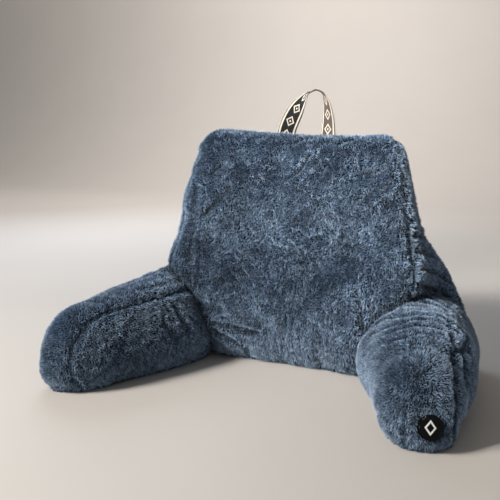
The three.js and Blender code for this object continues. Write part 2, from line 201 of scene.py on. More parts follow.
def read_vectors(mesh, field):
    """A mesh's points (co) or their normals (normal), a row for each point."""
    flat = np.empty(len(mesh.vertices) * 3, dtype=np.float32)
    mesh.vertices.foreach_get(field, flat)
    return flat.reshape(-1, 3).astype(np.float64)


def move_points(mesh, points):
    """Moves a mesh's points to new places."""
    mesh.vertices.foreach_set("co", points.astype(np.float32).ravel())
    mesh.update()


def settle_modifiers(piece):
    """Gives the piece the plain mesh its modifiers make, and removes them."""
    made = bpy.data.meshes.new_from_object(
        piece.evaluated_get(bpy.context.evaluated_depsgraph_get()))
    piece.modifiers.clear()
    piece.data = made


def even_skin(name, node):
    """A CAD node's form as one evenly meshed closed skin."""
    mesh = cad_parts[node].data.copy()
    mesh.materials.clear()
    merged = bmesh.new()
    merged.from_mesh(mesh)
    bmesh.ops.remove_doubles(merged, verts=merged.verts, dist=MERGE_WITHIN)
    merged.to_mesh(mesh)
    merged.free()
    piece = bpy.data.objects.new(name, mesh)
    scene.collection.objects.link(piece)
    remesh = piece.modifiers.new("even", "REMESH")
    remesh.mode = "VOXEL"
    remesh.voxel_size = SKIN_MESH
    soften = piece.modifiers.new("soften", "SMOOTH")
    soften.iterations = SKIN_SMOOTHING
    settle_modifiers(piece)
    return piece


def distance_to(points, chosen):
    """Distance from each point to the nearest of the chosen ones."""
    finder = KDTree(int(chosen.sum()))
    for i in np.nonzero(chosen)[0]:
        finder.insert(points[i], int(i))
    finder.balance()
    return np.array([finder.find(point)[2] for point in points])


def sewn_depth(piece, others):
    """How far each point lies inside a seam with another skin: 0 outside, 1 deep in it."""
    neighbours = [BVHTree.FromPolygons([v.co for v in other.data.vertices],
                                       [tuple(p.vertices) for p in other.data.polygons])
                  for other in others]
    facing = np.zeros(len(piece.data.vertices), dtype=bool)
    for i, vertex in enumerate(piece.data.vertices):
        start = vertex.co - vertex.normal * SEWN_OVERLAP
        facing[i] = any(neighbour.ray_cast(start, vertex.normal, SEWN_REACH)[0] is not None
                        for neighbour in neighbours)
    return np.minimum(1, distance_to(read_vectors(piece.data, "co"), ~facing) / SEWN_DEPTH)


def let_in(piece, pile_length, sewn, raised=0.0):
    """Sinks a skin by about the pile's length, less in its seams and where it is raised."""
    points, normals = read_vectors(piece.data, "co"), read_vectors(piece.data, "normal")
    full = pile_length - TIPS_PAST
    depth = full + (SEWN_SUNK - full) * sewn - raised
    sunk = points - normals * depth[:, None]
    resting = points[:, 2] < FLOOR_BAND
    sunk[:, 2] = np.where(resting, SKIN_LOWEST, np.maximum(sunk[:, 2], SKIN_LOWEST))
    move_points(piece.data, sunk)


def blow_up(piece, held):
    """Inflates a skin as cloth under pressure, with the held points pinned."""
    start = read_vectors(piece.data, "co")
    start -= read_vectors(piece.data, "normal") * np.where(held, 0, SWELL_START)[:, None]
    move_points(piece.data, start)
    pins = piece.vertex_groups.new(name="held")
    pins.add([int(i) for i in np.nonzero(held)[0]], 1.0, "REPLACE")
    cloth = piece.modifiers.new("cloth", "CLOTH")
    cloth.settings.quality = 4
    cloth.settings.mass = 0.3
    cloth.settings.tension_stiffness = 12
    cloth.settings.compression_stiffness = 12
    cloth.settings.shear_stiffness = 4
    cloth.settings.bending_stiffness = 0.3
    cloth.settings.use_pressure = True
    cloth.settings.uniform_pressure_force = 4
    cloth.settings.shrink_min = -0.03
    cloth.settings.vertex_group_mass = "held"
    cloth.settings.effector_weights.gravity = 0
    cloth.collision_settings.use_collision = False
    cloth.point_cache.frame_end = SWELL_FRAMES
    for number in range(1, SWELL_FRAMES + 1):
        scene.frame_set(number)
    settle_modifiers(piece)
    scene.frame_set(1)
    moved = read_vectors(piece.data, "co") - start
    far = np.linalg.norm(moved, axis=1, keepdims=True)
    moved *= np.minimum(1, SWELL_CAP / np.maximum(far, 1e-9))
    points = start + moved
    points[:, 2] = np.maximum(points[:, 2], SKIN_LOWEST)
    move_points(piece.data, points)
    piece.vertex_groups.clear()


def nearest_on_line(points, line):
    """Distance from each point to a polyline, and the vector from the line to the point."""
    best = np.full(len(points), 1e9)
    away = np.zeros_like(points)
    for a, b in zip(line[:-1], line[1:]):
        along = b - a
        share = np.clip((points - a) @ along / max(along @ along, 1e-12), 0, 1)
        offset = points - (a + share[:, None] * along)
        distance = np.linalg.norm(offset, axis=1)
        closer = distance < best
        best[closer] = distance[closer]
        away[closer] = offset[closer]
    return best, away


def smooth_line(rows, finer=4):
    """A table's rows joined by a smooth curve, with that many times more points."""
    rows = np.array(rows, dtype=float)
    padded = np.vstack([2 * rows[0] - rows[1], rows, 2 * rows[-1] - rows[-2]])
    line = []
    for i in range(1, len(padded) - 2):
        p, q, r, s = padded[i - 1 : i + 3]
        for step in range(finer):
            t = step / finer
            line.append(0.5 * (2 * q + (r - p) * t + (2 * p - 5 * q + 4 * r - s) * t ** 2
                               + (3 * q - p - 3 * r + s) * t ** 3))
    line.append(padded[-2])
    return np.array(line)


def line_on(skin, rows):
    """A seam or crease from a table, smoothed and laid onto a skin, in metres."""
    return np.array([skin.closest_point_on_mesh(Vector(point))[1] for point in smooth_line(rows) * MM])


def beside(distance, effect, unit=MM):
    """An effect's strength at a distance from its line. An effect is how far from the line
    it lies and how wide it spreads there, both in a unit, and how strong it is."""
    place, spread, strength = effect
    return strength * np.exp(-((distance / unit - place) / spread) ** 2)


BRUSHED_TOWARDS = (0.14, -0.14, -0.36)    # the pile lies down and a little forward

# Effects beside the mouths where two skins are sewn together, in millimetres: the pile is crushed, and
# painted darker as the shade that falls in the seam.
MOUTH_CRUSHED = (0, 14, 0.25)
MOUTH_PAINTED_SHADE = (0, 14, 0.45)
# Beside a seam, in millimetres: the skin sinks and swells by shares of the seam's depth,
# and the pile is combed away from it.
SEAM_GROOVE = (0, 6, 0.9)
SEAM_SWELL = (14, 7, 0.4)
SEAM_COMBED = (0, 7, 0.4)
# Beside a crease, in its own widths: the skin sinks and swells by shares of the crease's depth, and the pile
# is crushed, painted darker in the groove as shade and lighter beside it as a highlight, for each millimetre
# of depth.
CREASE_GROOVE = (0, 0.8, 1.2)
CREASE_SWELL = (1.9, 0.8, 0.45)
CREASE_CRUSHED = (0, 0.9, 0.45)
CREASE_PAINTED_SHADE = (0, 0.9, 0.13)
CREASE_PAINTED_HIGHLIGHT = (1.7, 0.7, 0.065)
# A crease's depth wavers between these shares, by two crossed waves in radians a metre.
CREASE_MEAN, CREASE_SWING = 0.7, 0.45
CREASE_WAVE, CROSSED_WAVE, CROSSED_START = (190, 120, 75), (-60, 150, 210), 1.3
TRIM_LIMITS = (0.3, 1)      # the pile's length after all this, in its full length
LIGHT_LIMITS = (0.1, 1.4)   # and how light its painted shade and highlight make it


def work_lines(piece, sewn, seams, creases):
    """Sinks seams and creases into a skin. Returns how its pile is brushed and clipped, and its painted
    shade and highlight.
    """
    points, normals = read_vectors(piece.data, "co"), read_vectors(piece.data, "normal")
    comb = np.array(BRUSHED_TOWARDS)
    nap = comb - normals * (normals @ comb)[:, None]
    from_mouth = distance_to(points, sewn > 0)
    trim = 1 - beside(from_mouth, MOUTH_CRUSHED)
    # painted shade where the pile meets a seam's mouth
    light = 1 - beside(from_mouth, MOUTH_PAINTED_SHADE)
    groove, swell = np.zeros(len(points)), np.zeros(len(points))
    for rows, depth, _ in seams:
        distance, away = nearest_on_line(points, line_on(piece, rows))
        groove = np.maximum(groove, depth * MM * beside(distance, SEAM_GROOVE))
        swell = np.maximum(swell, depth * MM * beside(distance, SEAM_SWELL))
        nap += (beside(distance, SEAM_COMBED) / np.maximum(distance, MM))[:, None] * away
    lift = swell - groove
    waves = np.sin(points @ np.array(CREASE_WAVE)) * np.sin(points @ np.array(CROSSED_WAVE) + CROSSED_START)
    for rows, width, depth in creases:
        distance, _ = nearest_on_line(points, line_on(piece, rows))
        width, depth = width * MM, depth * (CREASE_MEAN + CREASE_SWING * waves)
        lift += depth * MM * (beside(distance, CREASE_SWELL, width) - beside(distance, CREASE_GROOVE, width))
        trim -= beside(distance, CREASE_CRUSHED, width)
        # painted shade in the crease and a painted highlight beside it
        light -= depth * (beside(distance, CREASE_PAINTED_SHADE, width) - beside(distance, CREASE_PAINTED_HIGHLIGHT, width))
    lift[points[:, 2] < 2 * FLOOR_BAND] = 0
    move_points(piece.data, points + normals * lift[:, None])
    return nap, np.clip(trim, *TRIM_LIMITS), np.clip(light, *LIGHT_LIMITS)


# Seams of the back, from the arms up and over the top: points in millimetres, the depth of
# the groove in millimetres, and the side on which the turned edge stands up as a lip.
BACK_SEAMS = [
    ([(242, 33, 172), (257, 41, 200), (252, 53, 230), (246, 59, 260), (240, 62, 290), (234, 65, 320),
      (227, 69, 350), (222, 78, 380), (216, 85, 404), (210, 94, 424), (200, 112, 440), (188, 132, 449)],
     2.4, (0, -1, 0)),
    ([(-243, 33, 172), (-258, 41, 200), (-252, 53, 230), (-247, 59, 260), (-240, 62, 290), (-234, 65, 320),
      (-228, 69, 350), (-223, 78, 380), (-217, 86, 406), (-210, 94, 430), (-200, 112, 450),
      (-188, 132, 460)], 1.0, (0, -1, 0)),
    ([(329, 224, 20), (335, 232, 50), (330, 232, 90), (317, 228, 130), (297, 221, 170), (273, 212, 210),
      (249, 203, 250), (229, 195, 290), (216, 190, 330), (205, 185, 370), (195, 180, 404), (189, 172, 428),
      (186, 155, 446), (188, 132, 450)], 3.0, (0, 1, 0)),
    ([(-330, 224, 20), (-335, 232, 50), (-331, 232, 90), (-317, 228, 130), (-297, 221, 170),
      (-274, 212, 210), (-250, 203, 250), (-229, 195, 290), (-217, 190, 330), (-206, 185, 370),
      (-196, 180, 406), (-190, 172, 434), (-187, 155, 454), (-188, 132, 460)], 3.0, (0, 1, 0)),
    ([(188, 132, 450), (120, 146, 455), (60, 152, 458), (0, 153, 460), (-60, 152, 461), (-120, 146, 463),
      (-188, 132, 460)], 2.0, (0, -1, 0)),
]

# Creases of the slack cover: points in millimetres, width and depth in millimetres.
BACK_CREASES = [
    ([(37, 90, 419), (27, 87, 402), (14, 85, 382)], 6, 7.5),
    ([(1, 104, 437), (15, 110, 444)], 5, 5.2),
    ([(54, 103, 439), (59, 91, 411)], 5, 3.0),
    ([(146, 75, 341), (172, 73, 355), (199, 73, 371)], 6, 6.8),
    ([(122, 86, 378), (149, 86, 386), (177, 83, 394), (192, 85, 413)], 6, 5.2),
    ([(182, 93, 432), (193, 114, 444)], 5, 4.5),
    ([(93, 101, 438), (109, 109, 445), (122, 117, 451)], 5, 5.2),
    ([(127, 76, 322), (140, 76, 341)], 5, 4.5),
    ([(-142, 30, 83), (-95, 39, 76), (-46, 41, 71)], 6, 7.5),
    ([(-141, 32, 68), (-120, 38, 54), (-96, 45, 41)], 6, 6.8),
    ([(-173, 25, 120), (-152, 32, 116), (-128, 37, 114)], 6, 5.2),
    ([(-183, 66, 295), (-157, 70, 318), (-129, 76, 351)], 8, 6.0),
    ([(-182, 74, 367), (-164, 80, 381), (-142, 85, 396)], 6, 5.2),
    ([(-126, 89, 412), (-104, 90, 418), (-81, 92, 422)], 6, 4.5),
    ([(-199, 68, 351), (-202, 63, 292), (-209, 57, 231), (-208, 45, 197)], 9, 3.0),
    ([(145, 48, 178), (158, 35, 145), (166, 28, 110)], 8, 6.8),
    ([(246, 79, 277), (249, 125, 270), (249, 169, 261)], 7, 5.2),
    ([(252, 73, 250), (263, 148, 230)], 7, 5.2),
    ([(261, 71, 221), (276, 142, 198), (294, 195, 172)], 7, 6.0),
    ([(262, 54, 196), (274, 125, 171), (294, 181, 149)], 7, 4.0),
    ([(-247, 90, 268), (-262, 165, 236)], 7, 3.5),
    ([(-262, 80, 214), (-288, 180, 184)], 7, 4.0),
    ([(150, 206, 360), (60, 214, 340), (-40, 216, 345)], 12, 3.0),
    ([(-120, 214, 318), (-30, 222, 300), (40, 222, 306)], 12, 3.0),
    ([(230, 222, 180), (170, 236, 150), (120, 240, 146)], 11, 3.5),
    ([(-240, 226, 172), (-180, 236, 132), (-130, 243, 120)], 11, 3.5),
]

back_skin = even_skin("back_cushion", "backrest")
arm_left_skin = even_skin("arm_cushion_left", "arm_left")
arm_right_skin = even_skin("arm_cushion_right", "arm_right")
back_sewn = sewn_depth(back_skin, [arm_left_skin, arm_right_skin])
arm_left_sewn = sewn_depth(arm_left_skin, [back_skin])
arm_right_sewn = sewn_depth(arm_right_skin, [back_skin])

let_in(back_skin, BACK_PILE_LENGTH, back_sewn)
blow_up(back_skin, (back_sewn > 0) | (read_vectors(back_skin.data, "co")[:, 2] < FLOOR_BAND))
back_lines = work_lines(back_skin, back_sewn, BACK_SEAMS, BACK_CREASES)


# ------------------------------------------------------------------ the plush pile
# Short polyester fibres, knitted into the ground, sheared and brushed, so that they lie in
# small locks that point downwards. Each lock is one slim spike.

BACK_GIRTH = 2.2 * MM
BACK_CURL = 0.85
FRONT_FACING = -0.1         # a face belongs to the front where its normal's Y is under this
FRONT_LOCKS_PER_M2 = 338000
REAR_LOCKS_PER_M2 = 262000
PILE_LOWEST = 0.5 * MM      # no point of the pile lies lower
DOWN_FACING = -0.5          # the pillow's underside, bare where it rests, has a normal's Z under this
SWEEP_LEAN = 1.4            # how much locks lean with the wide sweeps, against 1 straight up
CLUMP_LEAN = 1.8            # with the others of their clump
STRAY_LEAN = 0.22           # and each by itself
LOCK_POINTS = 4             # a lock is a spike of three faces on four points
MAP_CELLS = 260             # the pile's map is a grid of this many cells a side, one a lock
MAP_LOCK_REACH = 0.46       # a lock's half width in its cell

# How a seam parts the pile beside it: effects in millimetres, at full strength.
FULL_SEAM = 3               # from this depth on, in millimetres, a seam has its full strength
PARTED = (0, 2.8, 1)
ON_LIP = (5.5, 2.2, 1)
LIP_SIDE_SOFT = 1 * MM      # the lip fades out over this where its side ends
LIP_HEIGHT = 2.4 * MM
LIP_SHORTER = 0.25          # share of their length that locks on the lip lose
PARTED_SUNK = 1.2 * MM
PARTED_SHORTER = 0.55
SEAM_PAINTED_LIGHT = 0.8         # parted locks get this much painted shade, those on the lip this much painted highlight

# Polyester fibre, spun and brushed: light tips and roots painted darker as the shade deep in the pile, a
# soft sheen at the rim.
plush_pile, tree = new_material("brushed_polyester_pile")
along = add_node(tree, "ShaderNodeAttribute", attribute_name="along")
lock = add_node(tree, "ShaderNodeAttribute", attribute_name="lock")
root_to_tip = add_node(tree, "ShaderNodeValToRGB", {"Fac": along.outputs["Fac"]})
ramp = root_to_tip.color_ramp
ramp.elements[0].color = linear("#182432")
ramp.elements[1].color = linear("#b9cbdf")
ramp.elements.new(0.5).color = linear("#617c97")
shade = add_node(tree, "ShaderNodeMapRange", {
    "Value": lock.outputs["Fac"], "From Min": 0.1, "From Max": 0.8, "To Min": 0.25, "To Max": 1.7})
lock_tone = add_node(tree, "ShaderNodeVectorMath", {
    0: root_to_tip.outputs["Color"], "Scale": shade.outputs["Result"]}, operation="SCALE")
give_finish(tree, {"Base Color": lock_tone, "Roughness": 0.8, "Specular IOR Level": 0.25,
                   "Sheen Weight": 0.35, "Sheen Roughness": 0.4, "Sheen Tint": linear("#bcd4f2")})

# What a skin says at each of its points: where the pile grows, how it is brushed, how short it is clipped
# and how light its painted shade and highlight make it.
SKIN_SAYS = {"grow": "FLOAT", "nap": "FLOAT_VECTOR", "trim": "FLOAT", "light": "FLOAT"}

# The tree that grows the pile on a skin.
pile_tree = bpy.data.node_groups.new("grow_pile", "GeometryNodeTree")
pile_tree.is_modifier = True
pile_interface = pile_tree.interface
pile_interface.new_socket("Skin", in_out="INPUT", socket_type="NodeSocketGeometry")
pile_sockets = {}
for label, kind in [("Length", "NodeSocketFloat"), ("Girth", "NodeSocketFloat"),
                    ("Locks per square metre", "NodeSocketFloat"), ("Curl", "NodeSocketFloat"),
                    ("Seed", "NodeSocketInt")]:
    made = pile_interface.new_socket(label, in_out="INPUT", socket_type=kind)
    pile_sockets[label] = made.identifier
pile_interface.new_socket("Pile", in_out="OUTPUT", socket_type="NodeSocketGeometry")

given = add_node(pile_tree, "NodeGroupInput")
told = {label: add_node(pile_tree, "GeometryNodeInputNamedAttribute", {"Name": label},
                        data_type=kind).outputs["Attribute"] for label, kind in SKIN_SAYS.items()}
locks_here = add_node(pile_tree, "ShaderNodeMath", {
    0: told["grow"], 1: given.outputs["Locks per square metre"]}, operation="MULTIPLY")
scatter = add_node(pile_tree, "GeometryNodeDistributePointsOnFaces", {
    "Mesh": given.outputs["Skin"], "Density": locks_here, "Seed": given.outputs["Seed"],
}, distribute_method="RANDOM")
position = add_node(pile_tree, "GeometryNodeInputPosition")

# Sweeps about 45 mm across, clumps of locks that lean together, about 9 mm across, and
# each lock's own stray lean.
sweeps = add_node(pile_tree, "ShaderNodeTexNoise", {"Vector": position, "Scale": 22.0, "Detail": 1.0})
clumps = add_node(pile_tree, "ShaderNodeTexNoise", {"Vector": position, "Scale": 105.0, "Detail": 1.0})
strays = add_node(pile_tree, "FunctionNodeRandomValue", {
    "Min": (-1, -1, -1), "Max": (1, 1, 1), "Seed": given.outputs["Seed"]}, data_type="FLOAT_VECTOR")
lean = add_node(pile_tree, "ShaderNodeVectorMath", {
    0: scatter.outputs["Normal"], 1: told["nap"]}, operation="ADD")
for source, strength in [(sweeps, SWEEP_LEAN), (clumps, CLUMP_LEAN)]:
    centred = add_node(pile_tree, "ShaderNodeVectorMath", {
        0: source.outputs["Color"], 1: (0.5, 0.5, 0.5)}, operation="SUBTRACT")
    swung = add_node(pile_tree, "ShaderNodeVectorMath", {0: centred, "Scale": strength}, operation="SCALE")
    curled = add_node(pile_tree, "ShaderNodeVectorMath", {
        0: swung, "Scale": given.outputs["Curl"]}, operation="SCALE")
    lean = add_node(pile_tree, "ShaderNodeVectorMath", {0: lean, 1: curled}, operation="ADD")
strayed = add_node(pile_tree, "ShaderNodeVectorMath", {
    0: strays.outputs["Value"], "Scale": STRAY_LEAN}, operation="SCALE")
lean = add_node(pile_tree, "ShaderNodeVectorMath", {0: lean, 1: strayed}, operation="ADD")

# Each lock is turned about its own length, by up to a full turn, and then aimed.
spin = add_node(pile_tree, "FunctionNodeRandomValue", {
    "Min": 0.0, "Max": 6.283, "Seed": given.outputs["Seed"]}, data_type="FLOAT")
turned = add_node(pile_tree, "FunctionNodeAxisAngleToRotation", {
    "Axis": (0, 0, 1), "Angle": spin.outputs[1]})
aimed = add_node(pile_tree, "FunctionNodeAlignRotationToVector", {
    "Rotation": turned.outputs["Rotation"], "Vector": lean}, axis="Z")

clump_height = add_node(pile_tree, "ShaderNodeMapRange", {
    "Value": clumps.outputs["Fac"], "From Min": 0.3, "From Max": 0.7, "To Min": 0.76, "To Max": 1.1})
own_height = add_node(pile_tree, "FunctionNodeRandomValue", {
    "Min": 0.8, "Max": 1.15, "Seed": 7}, data_type="FLOAT")
height = clump_height.outputs["Result"]
for factor in (own_height.outputs[1], told["trim"], given.outputs["Length"]):
    height = add_node(pile_tree, "ShaderNodeMath", {0: height, 1: factor}, operation="MULTIPLY").outputs[0]
lock_size = add_node(pile_tree, "ShaderNodeCombineXYZ", {
    "X": given.outputs["Girth"], "Y": given.outputs["Girth"], "Z": height})

spike = add_node(pile_tree, "GeometryNodeMeshCone", {
    "Vertices": 3, "Side Segments": 1, "Radius Top": 0.0, "Radius Bottom": 0.5, "Depth": 1.0,
}, fill_type="NONE")
from_root = add_node(pile_tree, "ShaderNodeSeparateXYZ", {"Vector": position})
marked = add_node(pile_tree, "GeometryNodeStoreNamedAttribute", {
    "Geometry": spike.outputs["Mesh"], "Name": "along", "Value": from_root.outputs["Z"],
}, data_type="FLOAT", domain="POINT")
planted = add_node(pile_tree, "GeometryNodeInstanceOnPoints", {
    "Points": scatter.outputs["Points"], "Instance": marked.outputs["Geometry"],
    "Rotation": aimed.outputs["Rotation"], "Scale": lock_size})

# Lighter and darker patches of random tone, down to single locks, with the tops of clumps lighter still as a
# painted highlight where they catch the light.
patches = add_node(pile_tree, "ShaderNodeTexNoise", {"Vector": position, "Scale": 13.0, "Detail": 3.0})
speckle = add_node(pile_tree, "FunctionNodeRandomValue", {
    "Min": 0.0, "Max": 1.0, "Seed": 11}, data_type="FLOAT")
painted_clump_highlight = add_node(pile_tree, "ShaderNodeMapRange", {
    "Value": clumps.outputs["Fac"], "From Min": 0.3, "From Max": 0.7})
speckled = add_node(pile_tree, "ShaderNodeMix", {
    "Factor": 0.4, "A": patches.outputs["Fac"], "B": speckle.outputs[1]}, data_type="FLOAT")
clumped = add_node(pile_tree, "ShaderNodeMix", {
    "Factor": 0.3, "A": speckled.outputs["Result"], "B": painted_clump_highlight.outputs["Result"]}, data_type="FLOAT")
# the random tone and the clump highlight, times the skin's painted shade and highlight
lock_tone_and_painted_light = add_node(pile_tree, "ShaderNodeMath", {
    0: clumped.outputs["Result"], 1: told["light"]}, operation="MULTIPLY")
shaded = add_node(pile_tree, "GeometryNodeStoreNamedAttribute", {
    "Geometry": planted.outputs["Instances"], "Name": "lock", "Value": lock_tone_and_painted_light,
}, data_type="FLOAT", domain="INSTANCE")

# Real locks, none of them below the floor.
real = add_node(pile_tree, "GeometryNodeRealizeInstances", {"Geometry": shaded.outputs["Geometry"]})
spot = add_node(pile_tree, "ShaderNodeSeparateXYZ", {"Vector": position})
above = add_node(pile_tree, "ShaderNodeMath", {0: spot.outputs["Z"], 1: PILE_LOWEST}, operation="MAXIMUM")
laid = add_node(pile_tree, "ShaderNodeCombineXYZ", {
    "X": spot.outputs["X"], "Y": spot.outputs["Y"], "Z": above})
on_floor = add_node(pile_tree, "GeometryNodeSetPosition", {
    "Geometry": real.outputs["Geometry"], "Position": laid})
finished = add_node(pile_tree, "GeometryNodeSetMaterial", {
    "Geometry": on_floor.outputs["Geometry"], "Material": plush_pile})
add_node(pile_tree, "NodeGroupOutput", {"Pile": finished.outputs["Geometry"]})


def map_locks(mesh):
    """Lays each lock of the pile out flat in its own cell of the map, seen from its tip."""
    along_values = np.zeros(len(mesh.vertices), dtype=np.float32)
    mesh.attributes["along"].data.foreach_get("value", along_values)
    corners = np.zeros(len(mesh.loops), dtype=np.int32)
    mesh.loops.foreach_get("vertex_index", corners)
    lock_number, place_in_lock = corners // LOCK_POINTS, corners % LOCK_POINTS
    turn = place_in_lock * 2 * math.pi / 3
    out = np.where(along_values[corners] > 0, 0.0, MAP_LOCK_REACH)
    chart = np.stack([(lock_number % MAP_CELLS + 0.5 + out * np.cos(turn)) / MAP_CELLS,
                      (lock_number // MAP_CELLS + 0.5 + out * np.sin(turn)) / MAP_CELLS], axis=1)
    mesh.uv_layers.new(name="OFBake").data.foreach_set("uv", chart.astype(np.float32).ravel())


def part_along_seams(mesh, skin, seams):
    """Sinks the locks in a seam's groove and darkens them with painted shade, and stands up those on its
    lip, lighter with a painted highlight.
    """
    points = read_vectors(mesh, "co").reshape(-1, LOCK_POINTS, 3)
    roots = points[:, :3].mean(axis=1, keepdims=True)
    upright = points[:, 3:] - roots
    upright /= np.maximum(np.linalg.norm(upright, axis=2, keepdims=True), 1e-6)
    tones_and_painted_light = np.zeros(len(mesh.vertices), dtype=np.float32)
    mesh.attributes["lock"].data.foreach_get("value", tones_and_painted_light)
    tones_and_painted_light = tones_and_painted_light.reshape(-1, LOCK_POINTS)
    parted, raised = np.zeros(len(roots)), np.zeros(len(roots))
    for rows, depth, lip in seams:
        distance, away = nearest_on_line(roots[:, 0], line_on(skin, rows))
        on_lip_side = 1 / (1 + np.exp(-(away @ np.array(lip, dtype=float)) / LIP_SIDE_SOFT))
        strength = min(1, depth / FULL_SEAM)
        parted = np.maximum(parted, strength * beside(distance, PARTED))
        raised = np.maximum(raised, strength * on_lip_side * beside(distance, ON_LIP))
    length_left = 1 - PARTED_SHORTER * parted - LIP_SHORTER * raised
    points = roots + (points - roots) * length_left[:, None, None]
    points += upright * (raised * LIP_HEIGHT - parted * PARTED_SUNK)[:, None, None]
    # painted shade on the parted locks in the groove, a painted highlight on those on the lip
    tones_and_painted_light *= (1 + SEAM_PAINTED_LIGHT * (raised - parted))[:, None]
    points[:, :, 2] = np.maximum(points[:, :, 2], PILE_LOWEST)
    move_points(mesh, points.reshape(-1, 3))
    mesh.attributes["lock"].data.foreach_set("value", np.ascontiguousarray(tones_and_painted_light.ravel()))


def grow_pile(name, skin, grows, worked, seed, length, girth, density, curl, seams):
    """Grows a piece of pile where it may on a skin whose lines are worked, with its own map."""
    mesh = skin.data.copy()
    underneath = read_vectors(mesh, "co")[:, 2] < FLOOR_BAND
    underneath &= read_vectors(mesh, "normal")[:, 2] < DOWN_FACING
    for (label, kind), values in zip(SKIN_SAYS.items(), (grows & ~underneath, *worked)):
        layer = mesh.attributes.new(label, kind, "POINT")
        key = "vector" if kind == "FLOAT_VECTOR" else "value"
        layer.data.foreach_set(key, np.asarray(values, dtype=np.float32).ravel())
    piece = bpy.data.objects.new(name, mesh)
    scene.collection.objects.link(piece)
    planter = piece.modifiers.new("pile", "NODES")
    planter.node_group = pile_tree
    sizes = {"Length": length, "Girth": girth, "Locks per square metre": density, "Curl": curl}
    for label, value in {**sizes, "Seed": seed}.items():
        planter[pile_sockets[label]] = value
    settle_modifiers(piece)
    part_along_seams(piece.data, skin, seams)
    map_locks(piece.data)
    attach(piece, "root")


back_open = back_sewn <= SEWN_SHUT
back_left = read_vectors(back_skin.data, "co")[:, 0] < 0
back_front = read_vectors(back_skin.data, "normal")[:, 1] < FRONT_FACING
for name, share, seed, density in [
        ("back_pile_left_front", back_front & back_left, 1, FRONT_LOCKS_PER_M2),
        ("back_pile_right_front", back_front & ~back_left, 2, FRONT_LOCKS_PER_M2),
        ("back_pile_left_rear", ~back_front & back_left, 3, REAR_LOCKS_PER_M2),
        ("back_pile_right_rear", ~back_front & ~back_left, 4, REAR_LOCKS_PER_M2)]:
    grow_pile(name, back_skin, share & back_open, back_lines, seed,
              BACK_PILE_LENGTH, BACK_GIRTH, density, BACK_CURL, BACK_SEAMS)

back_skin.data.materials.clear()
back_skin.data.materials.append(plush_ground)
back_skin.data.shade_smooth()
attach(back_skin, "root")
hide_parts("backrest")


# ------------------------------------------------------------------ the stuffed arms
# Two arms of the same plush, each with a boxing strip over its top and down round its
# tip. Their rear ends are gathered into the seam with the back.

ARM_PILE_LENGTH = 6.2 * MM
ARM_GIRTH = 1.9 * MM
ARM_CURL = 0.7
ARM_LOCKS_PER_M2 = 366000

# Seams and creases of the arms, in the same columns as the back's.
ARM_RIGHT_SEAMS = [
    ([(303, 138, 153), (308, 75, 158), (310, 49, 158), (316, 24, 158), (325, -6, 156),
      (334, -36, 151), (342, -65, 142)], 1.1, (-1, 0, 0)),
    ([(342, -65, 142), (351, -95, 129), (358, -125, 119), (365, -152, 104), (370, -170, 80),
      (372, -177, 45), (369, -162, 10)], 3.0, (-1, 0, 0)),
    ([(229, 100, 165), (230, 72, 167), (233, 39, 165), (241, 5, 163), (249, -25, 160), (258, -54, 157),
      (267, -84, 150), (275, -114, 140), (283, -148, 132), (291, -178, 115), (297, -200, 88),
      (300, -212, 52), (297, -204, 10)], 0.5, (-1, 0, 0)),
]
ARM_LEFT_SEAMS = [
    ([(-271, 135, 177), (-273, 104, 181), (-270, 73, 183), (-269, 44, 183), (-271, 15, 181),
      (-276, -13, 177), (-285, -42, 173), (-296, -70, 168), (-308, -99, 161), (-328, -142, 149),
      (-339, -179, 143), (-349, -209, 121), (-355, -228, 90), (-357, -237, 57), (-355, -228, 12)],
     3.0, (-1, 0, 0)),
    ([(-193, 128, 149), (-195, 102, 153), (-193, 78, 152), (-191, 43, 150), (-193, 8, 150),
      (-200, -27, 150), (-210, -61, 149), (-221, -92, 147), (-233, -122, 145), (-253, -165, 140),
      (-264, -199, 133), (-272, -227, 112), (-277, -243, 82), (-278, -248, 50), (-272, -232, 10)],
     4.2, (1, 0, 0)),
]
ARM_RIGHT_CREASES = [
    ([(174, 9, 98), (189, 1, 116), (208, -5, 135), (225, -12, 144), (245, -29, 155), (272, -25, 161),
      (290, -23, 162), (306, -14, 159), (324, -14, 154), (335, -4, 142), (344, -3, 134), (353, 0, 124),
      (355, -23, 124), (354, -57, 125), (350, -78, 129)], 6, 5.5),
    ([(201, -28, 115), (230, -51, 137), (255, -57, 153), (281, -43, 159), (310, -34, 157),
      (328, -36, 151), (341, -30, 139)], 5, 3.0),
    ([(233, -71, 131), (256, -75, 146), (280, -68, 152), (308, -61, 154), (327, -56, 146),
      (344, -62, 139)], 5, 1.8),
    ([(247, -101, 128), (269, -101, 143), (292, -89, 147)], 5, 1.6),
    ([(191, -38, 81), (218, -75, 110), (239, -93, 125)], 5, 2.6),
    ([(301, -208, 42), (301, -211, 26), (302, -203, 10)], 5, 4.0),
    ([(347, -94, 130), (357, -68, 119), (363, -44, 114)], 6, 3.4),
    ([(356, -69, 121), (364, -89, 102), (373, -119, 82)], 7, 3.0),
    ([(362, 38, 93), (371, -16, 90)], 7, 3.0),
]
ARM_LEFT_CREASES = [
    ([(-189, -84, 104), (-180, -76, 90), (-170, -63, 74)], 7, 2.0),
    ([(-192, -44, 128), (-175, -43, 105), (-164, -40, 80)], 7, 2.4),
    ([(-243, -76, 161), (-234, -48, 164), (-224, -25, 162)], 6, 2.5),
    ([(-340, 20, 130), (-345, -10, 118), (-350, -40, 96)], 7, 3.0),
    ([(-300, 70, 172), (-325, 60, 150), (-338, 60, 118)], 6, 3.5),
    ([(-303, 44, 170), (-328, 34, 148), (-342, 30, 112)], 6, 3.0),
]

